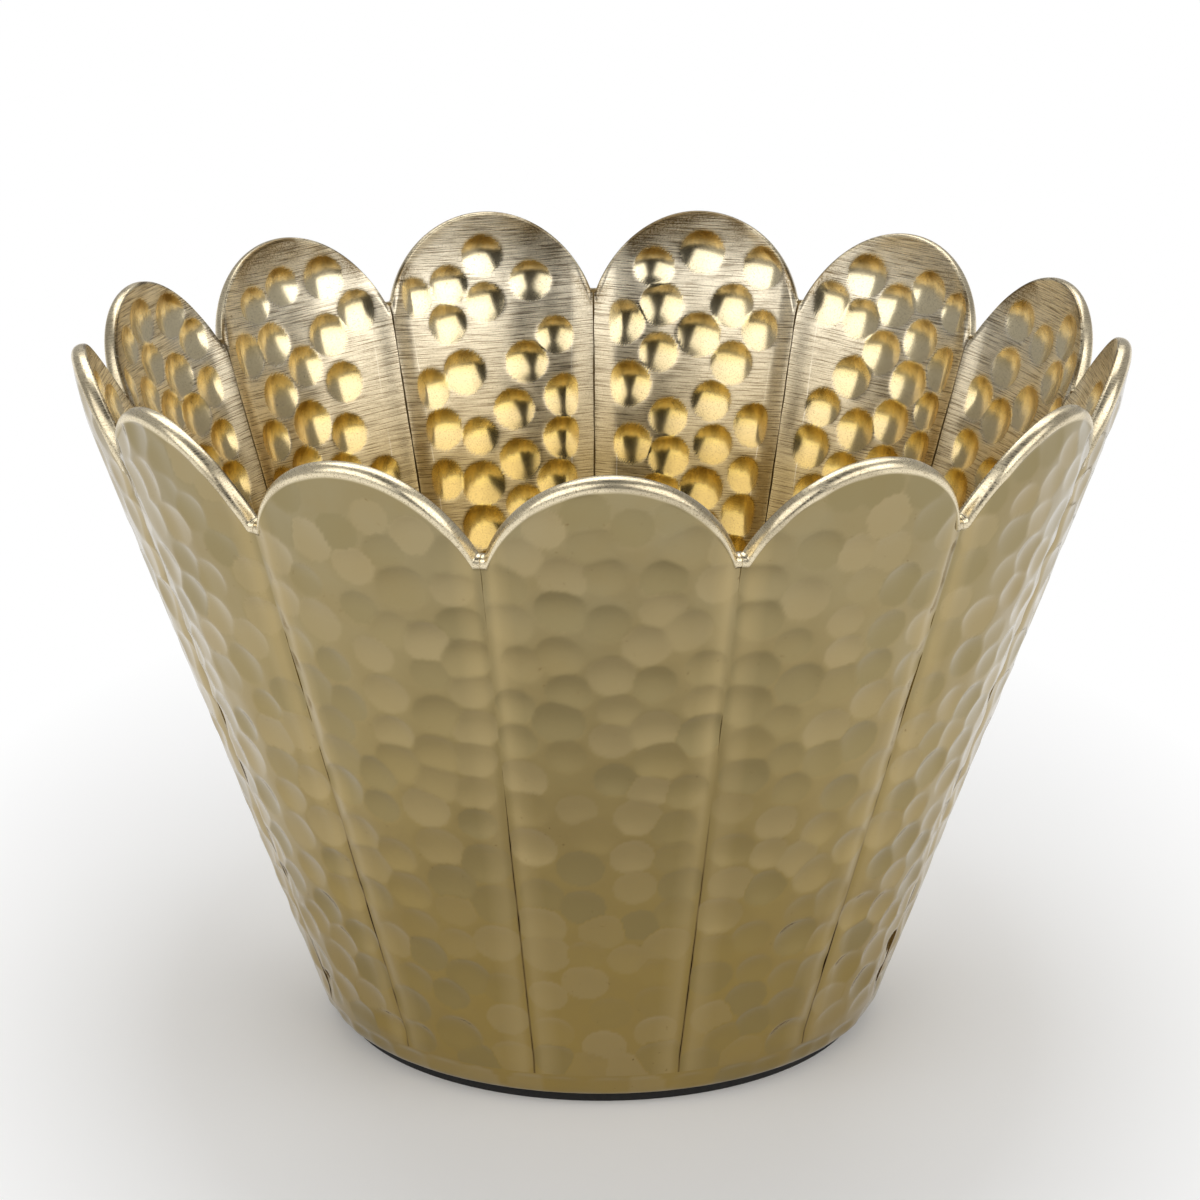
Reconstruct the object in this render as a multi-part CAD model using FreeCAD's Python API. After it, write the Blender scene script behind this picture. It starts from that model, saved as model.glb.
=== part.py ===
"""Fluted brass bowl: thirteen hammered petals brazed edge to edge on a foot dish.

Each petal is a strip of heavy brass sheet, bent across its width to one bow from end
to end, so that it is round where it stands on the foot and bulges between its seams
at the rim. Its top is dished inwards to the same radius and cut to a round arch. The
long edges are trimmed to radial planes, where neighbours meet face to face, and a
strip of braze fills the rebate between their inner edges. The petals stand on the rim
of a shallow dish, which is the bowl's floor and rounded foot, and a bead of braze
runs round inside that joint. A pad is glued underneath.

Units are millimetres. +Z is up, the origin is the centre of the face that the bowl
rests on, and the first petal faces -Y.
"""
import FreeCAD, Part
import math
import os

Vector = FreeCAD.Vector

# --- driving dimensions ---------------------------------------------------------
PETAL_COUNT = 13
MOUTH_RADIUS = 100.0     # outside, at the middle of a petal, level with the notches
FOOT_RADIUS = 56.1       # outside, where the wall's line meets the foot's underside
NOTCH_HEIGHT = 124.7     # from the rest plane to the bottom of the notches
ARCH_RISE = 16.7         # from the notches to the tips of the petals

SHEET = 3.0              # thickness of the petals
NOTCH_WEB = 2.0          # flat left at the bottom of a notch

DISH_SHEET = 3.0         # thickness of the foot dish's floor
DISH_DEPTH = 5.6         # from the dish's underside to the rim that carries the petals
FOOT_CORNER = 4.0        # outer radius between the dish's floor and its wall
CORNER_FLATS = 3         # hammered flats that make up that corner
DISH_INNER_BEVEL = 1.2   # slope between the floor and the wall, inside

SEAM_WIDTH = 0.9         # width of the braze strip between two petals' inner edges
SEAM_DEPTH = 0.5         # how deep that strip is let into the sheet
FOOT_BEAD = 1.2          # how far the bead inside the foot joint reaches up the petals
FOOT_BEAD_RISE = 0.7     # how far that bead stands in from the wall

PAD_THICKNESS = 2.0
PAD_MARGIN = 0.3         # flat underside left bare outside the pad

# --- derived sizes --------------------------------------------------------------
PETAL_ANGLE = 360.0 / PETAL_COUNT
HALF_ANGLE = math.radians(PETAL_ANGLE) / 2.0
DISH_BOTTOM = PAD_THICKNESS
SEAT_HEIGHT = DISH_BOTTOM + DISH_DEPTH
FLOOR_TOP = DISH_BOTTOM + DISH_SHEET
TIP_HEIGHT = NOTCH_HEIGHT + ARCH_RISE
WALL_SLOPE = (MOUTH_RADIUS - FOOT_RADIUS) / (NOTCH_HEIGHT - DISH_BOTTOM)
FLARE = math.atan(WALL_SLOPE)
SHEET_ACROSS = SHEET / math.cos(FLARE)      # the sheet measured along a radius
# The bow across a petal's width, outside, that is level with the dish's rim at the seat.
PETAL_BOW = (FOOT_RADIUS + WALL_SLOPE * DISH_DEPTH) / math.cos(FLARE)
OVERRUN = 1.0            # how far blanks and cutters reach past the finished edge

CENTRE, UP, SIDEWAYS = Vector(0, 0, 0), Vector(0, 0, 1), Vector(1, 0, 0)
ALONG = Vector(0, -math.sin(FLARE), math.cos(FLARE))      # up the front petal
OUTWARD = Vector(0, -math.cos(FLARE), -math.sin(FLARE))   # square to its face
FOOT_POINT = Vector(0, -FOOT_RADIUS, DISH_BOTTOM)
BEND_POINT = Vector(0, -MOUTH_RADIUS, NOTCH_HEIGHT)


def wall_radius(z):
    """Outside radius at the middle of a petal, below the dished tips."""
    return FOOT_RADIUS + WALL_SLOPE * (z - DISH_BOTTOM)


def inner_radius(z):
    return wall_radius(z) - SHEET_ACROSS


def inner_wall(z):
    """The point of the wall's inner line at one height."""
    return Vector(inner_radius(z), 0.0, z)


def around(shape, index):
    """The copy of a shape that belongs to one petal, counted from the front."""
    copy = shape.copy()
    copy.rotate(CENTRE, UP, index * PETAL_ANGLE)
    return copy


# --- petals ---------------------------------------------------------------------
def bowed_sheet(outer_bow, inner_bow):
    """Round tube along the front petal, domed over at the top like the dished tip."""
    low_axis = FOOT_POINT - OUTWARD * PETAL_BOW
    high_axis = BEND_POINT - OUTWARD * PETAL_BOW

    def dome(bow):
        start, end = high_axis - OUTWARD * bow, high_axis + ALONG * bow
        middle = high_axis + (ALONG - OUTWARD) * (bow / math.sqrt(2.0))
        return Part.Arc(start, middle, end).toShape()

    points = [low_axis - OUTWARD * outer_bow, high_axis - OUTWARD * outer_bow,
              high_axis + ALONG * outer_bow, high_axis + ALONG * inner_bow,
              high_axis - OUTWARD * inner_bow, low_axis - OUTWARD * inner_bow]
    outline = Part.Wire([
        Part.makeLine(points[0], points[1]), dome(outer_bow),
        Part.makeLine(points[2], points[3]), dome(inner_bow),
        Part.makeLine(points[4], points[5]), Part.makeLine(points[5], points[0]),
    ])
    return Part.Face(outline).revolve(low_axis, ALONG, 360.0)


def wedge(low, high):
    """The room of the front petal between its two seam planes."""
    reach = 2.0 * MOUTH_RADIUS
    corners = [Vector(reach * math.sin(a), -reach * math.cos(a), low)
               for a in (-HALF_ANGLE, HALF_ANGLE)]
    axis = Vector(0, 0, low)
    outline = Part.makePolygon([axis] + corners + [axis])
    return Part.Face(outline).extrude(UP * (high - low))


def half_seam(side):
    """The half of a braze strip that is let into the front petal, +1 at its +X edge."""
    reach = 2.0 * MOUTH_RADIUS
    slab = Part.makeBox(SEAM_WIDTH / 2.0, reach, NOTCH_HEIGHT - SEAT_HEIGHT,
                        Vector(-SEAM_WIDTH / 2.0, -reach, SEAT_HEIGHT))
    slab.rotate(CENTRE, UP, math.degrees(HALF_ANGLE))
    inner_bow = PETAL_BOW - SHEET
    strip = bowed_sheet(inner_bow + SEAM_DEPTH, inner_bow).common(slab)
    front = [solid for solid in strip.Solids if solid.CenterOfMass.y < 0.0]
    return front[0] if side > 0 else front[0].mirror(CENTRE, SIDEWAYS)


def arch_waste(half_width):
    """What is sawn off above a petal's arch, square through the sheet."""
    shoulder, side = half_width - NOTCH_WEB / 2.0, half_width + 2.0 * SHEET
    top, reach = TIP_HEIGHT + 4.0 * OVERRUN, 2.0 * MOUTH_RADIUS
    corners = [(shoulder, NOTCH_HEIGHT), (side, NOTCH_HEIGHT), (side, top),
               (-side, top), (-side, NOTCH_HEIGHT), (-shoulder, NOTCH_HEIGHT)]
    points = [Vector(x, -reach, z) for x, z in corners]
    sides = [Part.makeLine(a, b) for a, b in zip(points, points[1:])]
    arch = Part.Arc(points[-1], Vector(0.0, -reach, TIP_HEIGHT), points[0]).toShape()
    return Part.Face(Part.Wire(sides + [arch])).extrude(Vector(0.0, reach, 0.0))


def make_petal():
    """The front petal, standing on the dish's rim."""
    sheet = bowed_sheet(PETAL_BOW, PETAL_BOW - SHEET)
    blank = sheet.common(wedge(SEAT_HEIGHT, TIP_HEIGHT + 2.0 * OVERRUN))
    corners = blank.slice(UP, NOTCH_HEIGHT - OVERRUN)[0].Vertexes
    half_width = sum(abs(corner.X) for corner in corners) / len(corners)
    petal = blank.cut(arch_waste(half_width)).Solids[0]
    for side in (1, -1):
        petal = petal.cut(half_seam(side)).Solids[0]
    return petal


# --- braze ----------------------------------------------------------------------
def make_seam_braze():
    """Thirteen strips, one at each seam, from the foot dish up to the notches."""
    left_half = around(half_seam(-1), 1)
    strip = half_seam(1).fuse(left_half).removeSplitter()
    return Part.makeCompound([around(strip, i) for i in range(PETAL_COUNT)])


def make_foot_braze():
    """A low bead round the inside of the joint between the petals and the dish."""
    foot, seat = inner_wall(FLOOR_TOP + DISH_INNER_BEVEL), inner_wall(SEAT_HEIGHT)
    crest, top = seat - Vector(FOOT_BEAD_RISE, 0, 0), inner_wall(SEAT_HEIGHT + FOOT_BEAD)
    outline = Part.makePolygon([foot, crest, top, seat, foot])
    return Part.Face(outline).revolve(CENTRE, UP, 360.0)


# --- foot -----------------------------------------------------------------------
def foot_corner():
    """Points along the rounded corner from the dish's flat underside up to its wall."""
    centre_radius = FOOT_RADIUS - FOOT_CORNER * (1.0 / math.cos(FLARE) - math.tan(FLARE))
    sweep = math.pi / 2.0 - FLARE
    angles = [sweep * step / CORNER_FLATS - math.pi / 2.0 for step in range(CORNER_FLATS + 1)]
    return [Vector(centre_radius + FOOT_CORNER * math.cos(angle), 0.0,
                   DISH_BOTTOM + FOOT_CORNER * (1.0 + math.sin(angle))) for angle in angles]


def make_foot_dish():
    """Floor, rounded corner and the short flared wall whose rim carries the petals."""
    rim_out = Vector(wall_radius(SEAT_HEIGHT), 0.0, SEAT_HEIGHT)
    bevel_top = inner_wall(FLOOR_TOP + DISH_INNER_BEVEL)
    bevel_foot = inner_wall(FLOOR_TOP) - Vector(DISH_INNER_BEVEL, 0, 0)
    outline = Part.makePolygon([Vector(0, 0, DISH_BOTTOM)] + foot_corner() + [
        rim_out, inner_wall(SEAT_HEIGHT), bevel_top, bevel_foot,
        Vector(0, 0, FLOOR_TOP), Vector(0, 0, DISH_BOTTOM)])
    return Part.Face(outline).revolve(CENTRE, UP, 360.0)


def make_base_pad():
    """Disc glued to the flat of the dish's underside, which the bowl rests on."""
    flat_radius = foot_corner()[0].x
    return Part.makeCylinder(flat_radius - PAD_MARGIN, PAD_THICKNESS)


# --- the pieces -----------------------------------------------------------------
petal = make_petal()
pieces = {"petal_%02d" % (i + 1): around(petal, i) for i in range(PETAL_COUNT)}
pieces["seam_braze"] = make_seam_braze()
pieces["foot_braze"] = make_foot_braze()
pieces["foot_dish"] = make_foot_dish()
pieces["base_pad"] = make_base_pad()

os.makedirs("parts", exist_ok=True)
for name, shape in pieces.items():
    shape.exportStep(os.path.join("parts", name + ".step"))
    print(name, "valid" if shape.isValid() else "INVALID", round(shape.Volume, 1), "mm3")
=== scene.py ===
# %% [markdown]
# # A hammered brass petal bowl
#
# Thirteen bowed petals of heavy sheet stand on a small round foot dish. Every petal
# was hammered on both faces: the inside is full of bright round dents, and the outside
# was planished, which leaves wide shallow marks. The petals' edges meet in ridges
# inside and in fine dark seams outside, and their tips are filed round and polished.
#
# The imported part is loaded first. It fixes every size and place.

# %% Load the fixed part
import math
import random

import bmesh
import bpy
import numpy as np
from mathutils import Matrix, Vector


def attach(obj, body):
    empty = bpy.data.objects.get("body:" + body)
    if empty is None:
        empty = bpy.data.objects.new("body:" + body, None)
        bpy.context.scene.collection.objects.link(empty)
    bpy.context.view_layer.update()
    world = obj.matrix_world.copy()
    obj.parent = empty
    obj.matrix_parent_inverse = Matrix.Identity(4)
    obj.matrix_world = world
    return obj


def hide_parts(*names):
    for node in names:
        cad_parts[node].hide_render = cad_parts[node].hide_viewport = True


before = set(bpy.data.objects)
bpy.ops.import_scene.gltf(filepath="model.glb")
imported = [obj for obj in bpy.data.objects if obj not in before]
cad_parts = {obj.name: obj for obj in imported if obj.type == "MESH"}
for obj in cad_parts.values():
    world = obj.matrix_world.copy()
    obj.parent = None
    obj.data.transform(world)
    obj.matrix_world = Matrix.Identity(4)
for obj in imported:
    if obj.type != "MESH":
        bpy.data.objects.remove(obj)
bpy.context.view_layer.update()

print("nodes:", sorted(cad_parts))

# %% [markdown]
# ## Sizes
#
# These are the solid part's own driving dimensions, in metres. The petals are modelled
# from them, so each one covers its solid exactly and only the handwork is added.

# %% The driving dimensions
PETAL_COUNT = 13
MOUTH_RADIUS = 0.1000
FOOT_RADIUS = 0.0561
NOTCH_HEIGHT = 0.1247
ARCH_RISE = 0.0167
SHEET = 0.0030
NOTCH_WEB = 0.0020
PAD_THICKNESS = 0.0020
DISH_DEPTH = 0.0056

HALF_ANGLE = math.pi / PETAL_COUNT
SEAT_HEIGHT = PAD_THICKNESS + DISH_DEPTH
WALL_SLOPE = (MOUTH_RADIUS - FOOT_RADIUS) / (NOTCH_HEIGHT - PAD_THICKNESS)
FLARE = math.atan(WALL_SLOPE)
PETAL_BOW = (FOOT_RADIUS + WALL_SLOPE * DISH_DEPTH) / math.cos(FLARE)
STRAIGHT = math.hypot(MOUTH_RADIUS - FOOT_RADIUS, NOTCH_HEIGHT - PAD_THICKNESS)
print("flare", round(math.degrees(FLARE), 2), "bow", round(PETAL_BOW, 5))

# %% [markdown]
# ## The surface of one petal
#
# A petal is a strip of a round tube that leans outwards, and its top turns inwards
# like the side of a ball. A point on it is given by how far it lies across (from -1 at
# one seam to +1 at the other), how far up the sheet it is, and how deep it lies below
# the outer face. Writing this once as a function of number arrays is quicker and more
# exact than bending a mesh with modifiers.

# %% From sheet coordinates to space
def edge_angle(up, depth, gap):
    """Angle about the bow's axis at which a petal meets its seam plane."""
    radius = PETAL_BOW - depth
    tilt = np.maximum(up - STRAIGHT, 0.0) / PETAL_BOW
    along = np.minimum(up, STRAIGHT)
    reach = FOOT_RADIUS + along * math.sin(FLARE) - PETAL_BOW * math.cos(FLARE)
    reach = reach + radius * np.sin(tilt) * math.sin(FLARE)
    slope = math.tan(HALF_ANGLE)
    skew = math.atan(slope * math.cos(FLARE))
    size = math.hypot(1.0, slope * math.cos(FLARE))
    ratio = (slope * reach - gap / math.cos(HALF_ANGLE)) / (radius * np.cos(tilt) * size)
    return skew + np.arcsin(ratio)


def petal_place(across, up, depth, gap=0.0):
    """Points of the front petal as x, y and z arrays."""
    radius = PETAL_BOW - depth
    tilt = np.maximum(up - STRAIGHT, 0.0) / PETAL_BOW
    along = np.minimum(up, STRAIGHT)
    angle = across * edge_angle(up, depth, gap)
    out = radius * np.cos(tilt) * np.cos(angle) - PETAL_BOW
    rise = along + radius * np.sin(tilt)
    x = radius * np.cos(tilt) * np.sin(angle)
    y = -FOOT_RADIUS - rise * math.sin(FLARE) - out * math.cos(FLARE)
    z = PAD_THICKNESS + rise * math.cos(FLARE) - out * math.sin(FLARE)
    return x, y, z


# %% [markdown]
# The petal's top is a round arch between two small shoulders, which form the notch
# with its neighbours. The lowest row follows the foot dish's rim. Both are level lines
# on a leaning sheet, so the sheet length that reaches them is looked up column by
# column. Each petal gets a slightly different arch, as hand-cut ones have.

# %% The lower edge and the arch
def seam_half_width(depth):
    """Half of a petal's width where its top starts to turn inwards."""
    up = np.array([STRAIGHT])
    return float(petal_place(np.array([1.0]), up, np.array([depth]))[0][0])


SHOULDER = 0.5 * (seam_half_width(0.0) + seam_half_width(SHEET)) - NOTCH_WEB / 2.0
TRY_BELOW, TRY_ABOVE, TRIES = 0.004, 0.026, 700  # sheet lengths that are looked through
print("half width between the shoulders", round(SHOULDER, 5))


def arch_height(x, lean, lift):
    """Height of the arched edge above a point x across the petal."""
    rise = ARCH_RISE + lift
    radius = (SHOULDER ** 2 + rise ** 2) / (2.0 * rise)
    inside = np.clip(np.abs(x) / SHOULDER, 0.0, 1.0)
    curve = np.sqrt(np.maximum(radius ** 2 - (inside * SHOULDER) ** 2, 0.0)) - (radius - rise)
    slant = 1.0 + lean * x / SHOULDER * (1.0 - inside)
    return NOTCH_HEIGHT + curve * slant


def level_length(across, depth, level):
    """Sheet length at which each column reaches a level, or the height given by x."""
    tries = np.linspace(-TRY_BELOW, STRAIGHT + TRY_ABOVE, TRIES)[:, None]
    x, _, z = petal_place(across[None, :], tries, depth)
    above = z - (level(x) if callable(level) else level)
    first = np.argmax(above > 0.0, axis=0)
    columns = np.arange(len(across))
    low, high = above[first - 1, columns], above[first, columns]
    share = low / (low - high)
    flat = tries[:, 0]
    return flat[first - 1] + share * (flat[first] - flat[first - 1])


# %% [markdown]
# ## Hammer marks
#
# A ball-faced hammer leaves shallow round marks in loose staggered rows, and a flatter
# one leaves the wider, fainter marks outside. Sculpting them by hand would take days
# and a repeating texture would show, so they are laid out by rule from a seeded random
# source. A least distance keeps them from piling up, and a second pass fills the gaps.

# %% The two kinds of marks, in metres
INSIDE_MARKS = {
    "margin": 0.0061,  # bare strip along the seams
    "top": 0.0078,  # bare strip under the arch
    "lowest": 0.010,  # where the first row may start
    "pitch": (0.0087, 0.0097),  # between marks of a row, and between rows
    "radius": (0.0043, 0.0052),
    "depth": (0.00070, 0.00095),
    "least": 0.0084,  # nearest that two centres may come
    "missing": 0.02,  # share that the smith left out
}
OUTSIDE_MARKS = {
    "margin": 0.0036, "top": 0.0048, "lowest": 0.007, "pitch": (0.0088, 0.0088),
    "radius": (0.0038, 0.0050), "depth": (0.00045, 0.00090), "least": 0.0066, "missing": 0.08,
}
ARCH_DROP, ARCH_POWER = 0.0150, 2.4  # how the arch falls away from its top to the seams
SCATTER_ACROSS, SCATTER_UP = 0.10, 0.13  # share of the pitch that a mark strays by
FILL_TRIES = 3500


def sheet_half_width(up):
    """Half of the sheet's width on the inside, measured along its bow."""
    inner = PETAL_BOW - SHEET
    return edge_angle(np.asarray(up, dtype=float), SHEET, 0.0) * inner


def row_of_marks(source, kind, up, arch_top, marks):
    """Adds one staggered row, as tuples of across, up, radius and depth."""
    pitch_across, pitch_up = kind["pitch"]
    half_width = float(sheet_half_width(min(up, arch_top)))
    room = half_width - kind["margin"]
    count = max(1, round(2.0 * room / pitch_across) + 1)
    for column in range(count):
        across = (room + 0.5 * pitch_across) * ((2 * column + 1) / count - 1.0)
        across += source.gauss(0.0, SCATTER_ACROSS * pitch_across)
        here = up + pitch_up * (0.5 * (column % 2)) + source.gauss(0.0, SCATTER_UP * pitch_up)
        size = source.uniform(*kind["radius"])
        bowl = source.uniform(*kind["depth"]) * (size / kind["radius"][1]) ** 2
        edge = arch_top - ARCH_DROP * min(abs(across) / half_width, 1.0) ** ARCH_POWER
        if here > edge - kind["top"] or abs(across) > room:
            continue
        if source.random() < kind["missing"]:
            continue
        if all(math.hypot(across - m[0], here - m[1]) >= kind["least"] for m in marks):
            marks.append((across, here, size, bowl))


def lay_out_marks(seed, kind, arch_top):
    """Marks of one face as an array of across, up, radius and depth, in metres."""
    source = random.Random(seed)
    pitch_up = kind["pitch"][1]
    marks = []
    up = kind["lowest"] + source.uniform(0.0, 0.5 * pitch_up)
    while up < arch_top + pitch_up:
        row_of_marks(source, kind, up, arch_top, marks)
        up += pitch_up
    marks = np.array(marks)
    for _ in range(FILL_TRIES):
        here = source.uniform(kind["lowest"], arch_top)
        half_width = float(sheet_half_width(here))
        across = source.uniform(-1.0, 1.0) * (half_width - kind["margin"])
        edge = arch_top - ARCH_DROP * min(abs(across) / half_width, 1.0) ** ARCH_POWER
        nearest = np.hypot(marks[:, 0] - across, marks[:, 1] - here).min()
        if here < edge - kind["top"] and nearest > kind["least"]:
            filler = (across, here, source.uniform(*kind["radius"]), kind["depth"][0])
            marks = np.vstack((marks, filler))
    return marks


# %% [markdown]
# The section through a mark is a parabola, a little steeper at its top, where the
# hammer's edge bit. Where marks overlap, the deeper one counts, which leaves the sharp
# ridges that real overlapping blows leave. Each mark also gets a lighter or darker tone,
# worked out from its place: a painted reflection, for the slightly different part of the
# room that each facet mirrors.

# %% How deep the marks reach
HAMMER_TILT = 0.30  # how much steeper a mark is at its top
# These spread the marks' painted reflections, lighter or darker, from mark to mark.
FACET_LIGHT_ACROSS, FACET_LIGHT_UP = 9000.0, 5000.0  # large, so that neighbours' shades differ


def smooth_step(low, high, values):
    """0 below the low value, 1 above the high one, and a soft S between them."""
    share = np.clip((values - low) / (high - low), 0.0, 1.0)
    return share * share * (3.0 - 2.0 * share)


def soft_floor(values, softness):
    """Values below zero fade to zero over a short distance instead of at a corner."""
    return softness * np.logaddexp(0.0, values / softness)


def mark_depths(across, up, marks, softness):
    """At each point the marks' depth, how high up in its mark it lies, and its painted facet
    light.
    """
    deepest, lean, painted_facet_light = (np.zeros_like(across) for _ in range(3))
    for centre_x, centre_up, radius, depth in marks:
        near = np.flatnonzero(np.abs(up - centre_up) < 1.5 * radius)
        rise = (up[near] - centre_up) / radius
        distance = ((across[near] - centre_x) / radius) ** 2 + rise ** 2
        bowl = soft_floor(depth * (1.0 - distance) * (1.0 + HAMMER_TILT * rise), softness)
        near, rise, bowl = (part[bowl > deepest[near]] for part in (near, rise, bowl))
        deepest[near], lean[near] = bowl, rise
        # Each mark's tone is a painted reflection, for the part of the room that its facet
        # mirrors.
        painted_facet_light[near] = math.sin(FACET_LIGHT_ACROSS * centre_x + FACET_LIGHT_UP * centre_up)
    marked = smooth_step(1.0, 2.5, deepest / softness)
    return deepest, lean, 0.5 + 0.5 * painted_facet_light * marked


# %% [markdown]
# ## Folding a grid into a petal
#
# One flat grid makes a whole petal. Its rows run up the outside, over the rim and down
# the inside, like a sheet of paper folded over a line. Bridging the two long sides and
# the bottom then closes the shell. A grid keeps the mesh even, which the hammer marks
# need, and it gives the petal its own map of across and up for the brushed finish.

# %% Grid sizes and the filed rim
COLUMNS = 104
FACE_ROWS = 236  # rows up each face
RIM_STEPS = 7  # rows over each of the rim's two roundings
OUTER_ROUND = 0.0022  # radius that the rim is filed to outside
INNER_ROUND = 0.0005  # and inside


def rim_profile():
    """Depth and drop of each row over the rim, from the outer to the inner face."""
    turns = [0.5 * math.pi * step / RIM_STEPS for step in range(RIM_STEPS + 1)]
    outer = [(OUTER_ROUND * (1.0 - math.cos(turn)), OUTER_ROUND * (1.0 - math.sin(turn)))
             for turn in turns]
    inner = [(SHEET - INNER_ROUND * (1.0 - math.cos(turn)),
              INNER_ROUND * (1.0 - math.sin(turn))) for turn in reversed(turns)]
    return outer + inner


RIM_ROWS = rim_profile()
ROWS = 2 * FACE_ROWS + len(RIM_ROWS) - 1
print("rows", ROWS, "faces per petal", ROWS * COLUMNS)


def flat_grid():
    """A flat grid with the column and the row of each of its points."""
    shell = bmesh.new()
    bmesh.ops.create_grid(shell, x_segments=COLUMNS, y_segments=ROWS, size=1.0)
    flat = np.array([vert.co[:] for vert in shell.verts])
    column = np.rint((flat[:, 0] + 1.0) / 2.0 * COLUMNS).astype(int)
    row = np.rint((flat[:, 1] + 1.0) / 2.0 * ROWS).astype(int)
    return shell, column, row


# %% [markdown]
# The finish needs to know where it is: inside or outside, in a mark or on the land
# between marks, near a seam or on the rim. Painting such masks would tie them to one
# picture size. Here each is a number on every point of the mesh, which the material
# reads by name, and a map in metres tells it which way the brushing runs.

# %% Masks, the map and a hand's wobble
def wobble(values, seed, pitch):
    """A slow random wave between about -1 and 1."""
    source = random.Random(seed)
    total = np.zeros_like(values)
    for octave in (1.0, 1.9, 3.1):
        total += np.sin(values / pitch * octave * math.tau + source.uniform(0, math.tau)) / octave
    return total / 1.8


def add_masks(mesh, masks):
    """Numbers kept on the mesh's points, which the finish reads by name."""
    for name, values in masks.items():
        layer = mesh.attributes.new(name, "FLOAT", "POINT")
        layer.data.foreach_set("value", values.astype(np.float32))


def add_sheet_map(mesh, across, up):
    """The map that the brushed lines follow, in metres."""
    sheet_map = np.column_stack((across, up))
    corners = np.zeros(len(mesh.loops), dtype=np.int32)
    mesh.loops.foreach_get("vertex_index", corners)
    layer = mesh.uv_layers.new(name="sheet")
    layer.data.foreach_set("uv", sheet_map[corners].astype(np.float32).ravel())


# %% [markdown]
# The grid is first laid on the flat sheet, from the dish's rim to the arch and back.

# %% Laying the grid on the sheet
def lay_sheet(across, column, row, lean, lift):
    """Up, depth and rim of each grid point, and the arch's and the seat's lines."""
    tops = {depth: level_length(across, depth, lambda x: arch_height(x, lean, lift))
            for depth in sorted({round(depth, 7) for depth, _ in RIM_ROWS})}
    seats = {0.0: level_length(across, 0.0, SEAT_HEIGHT),
             SHEET: level_length(across, SHEET, SEAT_HEIGHT)}
    up, depth, rim = (np.zeros(len(column)) for _ in range(3))
    outside = row < FACE_ROWS
    inside = row > ROWS - FACE_ROWS
    faces = ((outside, row, 0.0, OUTER_ROUND), (inside, ROWS - row, SHEET, INNER_ROUND))
    for face, steps, face_depth, rounding in faces:
        share = steps[face] / FACE_ROWS
        low = seats[face_depth][column[face]]
        high = tops[round(face_depth, 7)][column[face]] - rounding
        up[face] = low + (high - low) * share
        depth[face] = face_depth
    for step, (rim_depth, drop) in enumerate(RIM_ROWS):
        here = row == FACE_ROWS + step
        up[here] = tops[round(rim_depth, 7)][column[here]] - drop
        depth[here] = rim_depth
        rim[here] = 1.0
    inner = inside | (row > FACE_ROWS + len(RIM_ROWS) // 2)
    top_here = np.where(inner, tops[SHEET][column], tops[0.0][column])
    seat_here = np.where(inner, seats[SHEET][column], seats[0.0][column])
    return up, depth, rim, outside, inner, top_here - up, up - seat_here


# %% [markdown]
# The worked points are bent to the petal's form and turned to its place. Bridging the
# borders at the sides and the foot closes the shell, and those edges are marked sharp,
# so that the trimmed seam faces stay crisp beside the soft hammered ones.

# %% Bending and closing the shell
def bend_and_turn(shell, index, across, up, depth, gap):
    """Moves the grid's points from the flat sheet to their places on the bowl."""
    x, y, z = petal_place(across, up, depth, gap)
    turn = index * 2.0 * HALF_ANGLE
    places = np.column_stack((x * math.cos(turn) - y * math.sin(turn),
                              x * math.sin(turn) + y * math.cos(turn), z))
    for vert, place in zip(shell.verts, places.tolist()):
        vert.co = place


def close_shell(shell, column, row):
    """Joins the outer and inner borders of a folded grid and points the faces out."""
    def border(keep):
        return [edge for edge in shell.edges
                if edge.is_boundary and all(keep(vert.index) for vert in edge.verts)]

    shell.verts.ensure_lookup_table()
    shell.verts.index_update()
    groups = []
    for side in (0, COLUMNS):
        outer = border(lambda i, side=side: column[i] == side and row[i] <= FACE_ROWS)
        inner = border(lambda i, side=side: column[i] == side and row[i] >= ROWS - FACE_ROWS)
        groups.append((outer, inner))
    groups.append((border(lambda i: row[i] == 0), border(lambda i: row[i] == ROWS)))
    for outer, inner in groups:
        for edge in outer + inner:
            edge.smooth = False
        bmesh.ops.bridge_loops(shell, edges=outer + inner)
    rest = [edge for edge in shell.edges if edge.is_boundary]
    bmesh.ops.holes_fill(shell, edges=rest, sides=0)
    bmesh.ops.recalc_face_normals(shell, faces=shell.faces)
    for face in shell.faces:
        face.smooth = True
    open_edges = sum(edge.is_boundary for edge in shell.edges)
    if open_edges:
        print("open edges left:", open_edges)


# %% [markdown]
# The edges are worked too. Inside, a petal's long edges curl up to the crest that the
# braze runs along. Outside they sink into a shallow valley, and in the lower half the
# seam gapes a hair, as the braze only holds the inside. Every petal's arch leans and
# stands a little differently. All of it is added to the depth before the sheet is bent.

# %% The worked sheet
ARCH_SEED, INSIDE_SEED, OUTSIDE_SEED, WAVE_SEED, SEAM_SEED = 40, 700, 300, 90, 150
LEAN, LIFT = (-0.04, 0.04), (-0.0006, 0.0003)  # how one arch differs from the next
DOME = 0.0178  # sheet length from the bend to the arch's top
MARK_EDGE_IN, MARK_EDGE_OUT = 0.00003, 0.00002  # how soft the marks' edges are
IN_MARK = (0.00003, 0.00012)  # depths between which a point counts as in a mark
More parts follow.
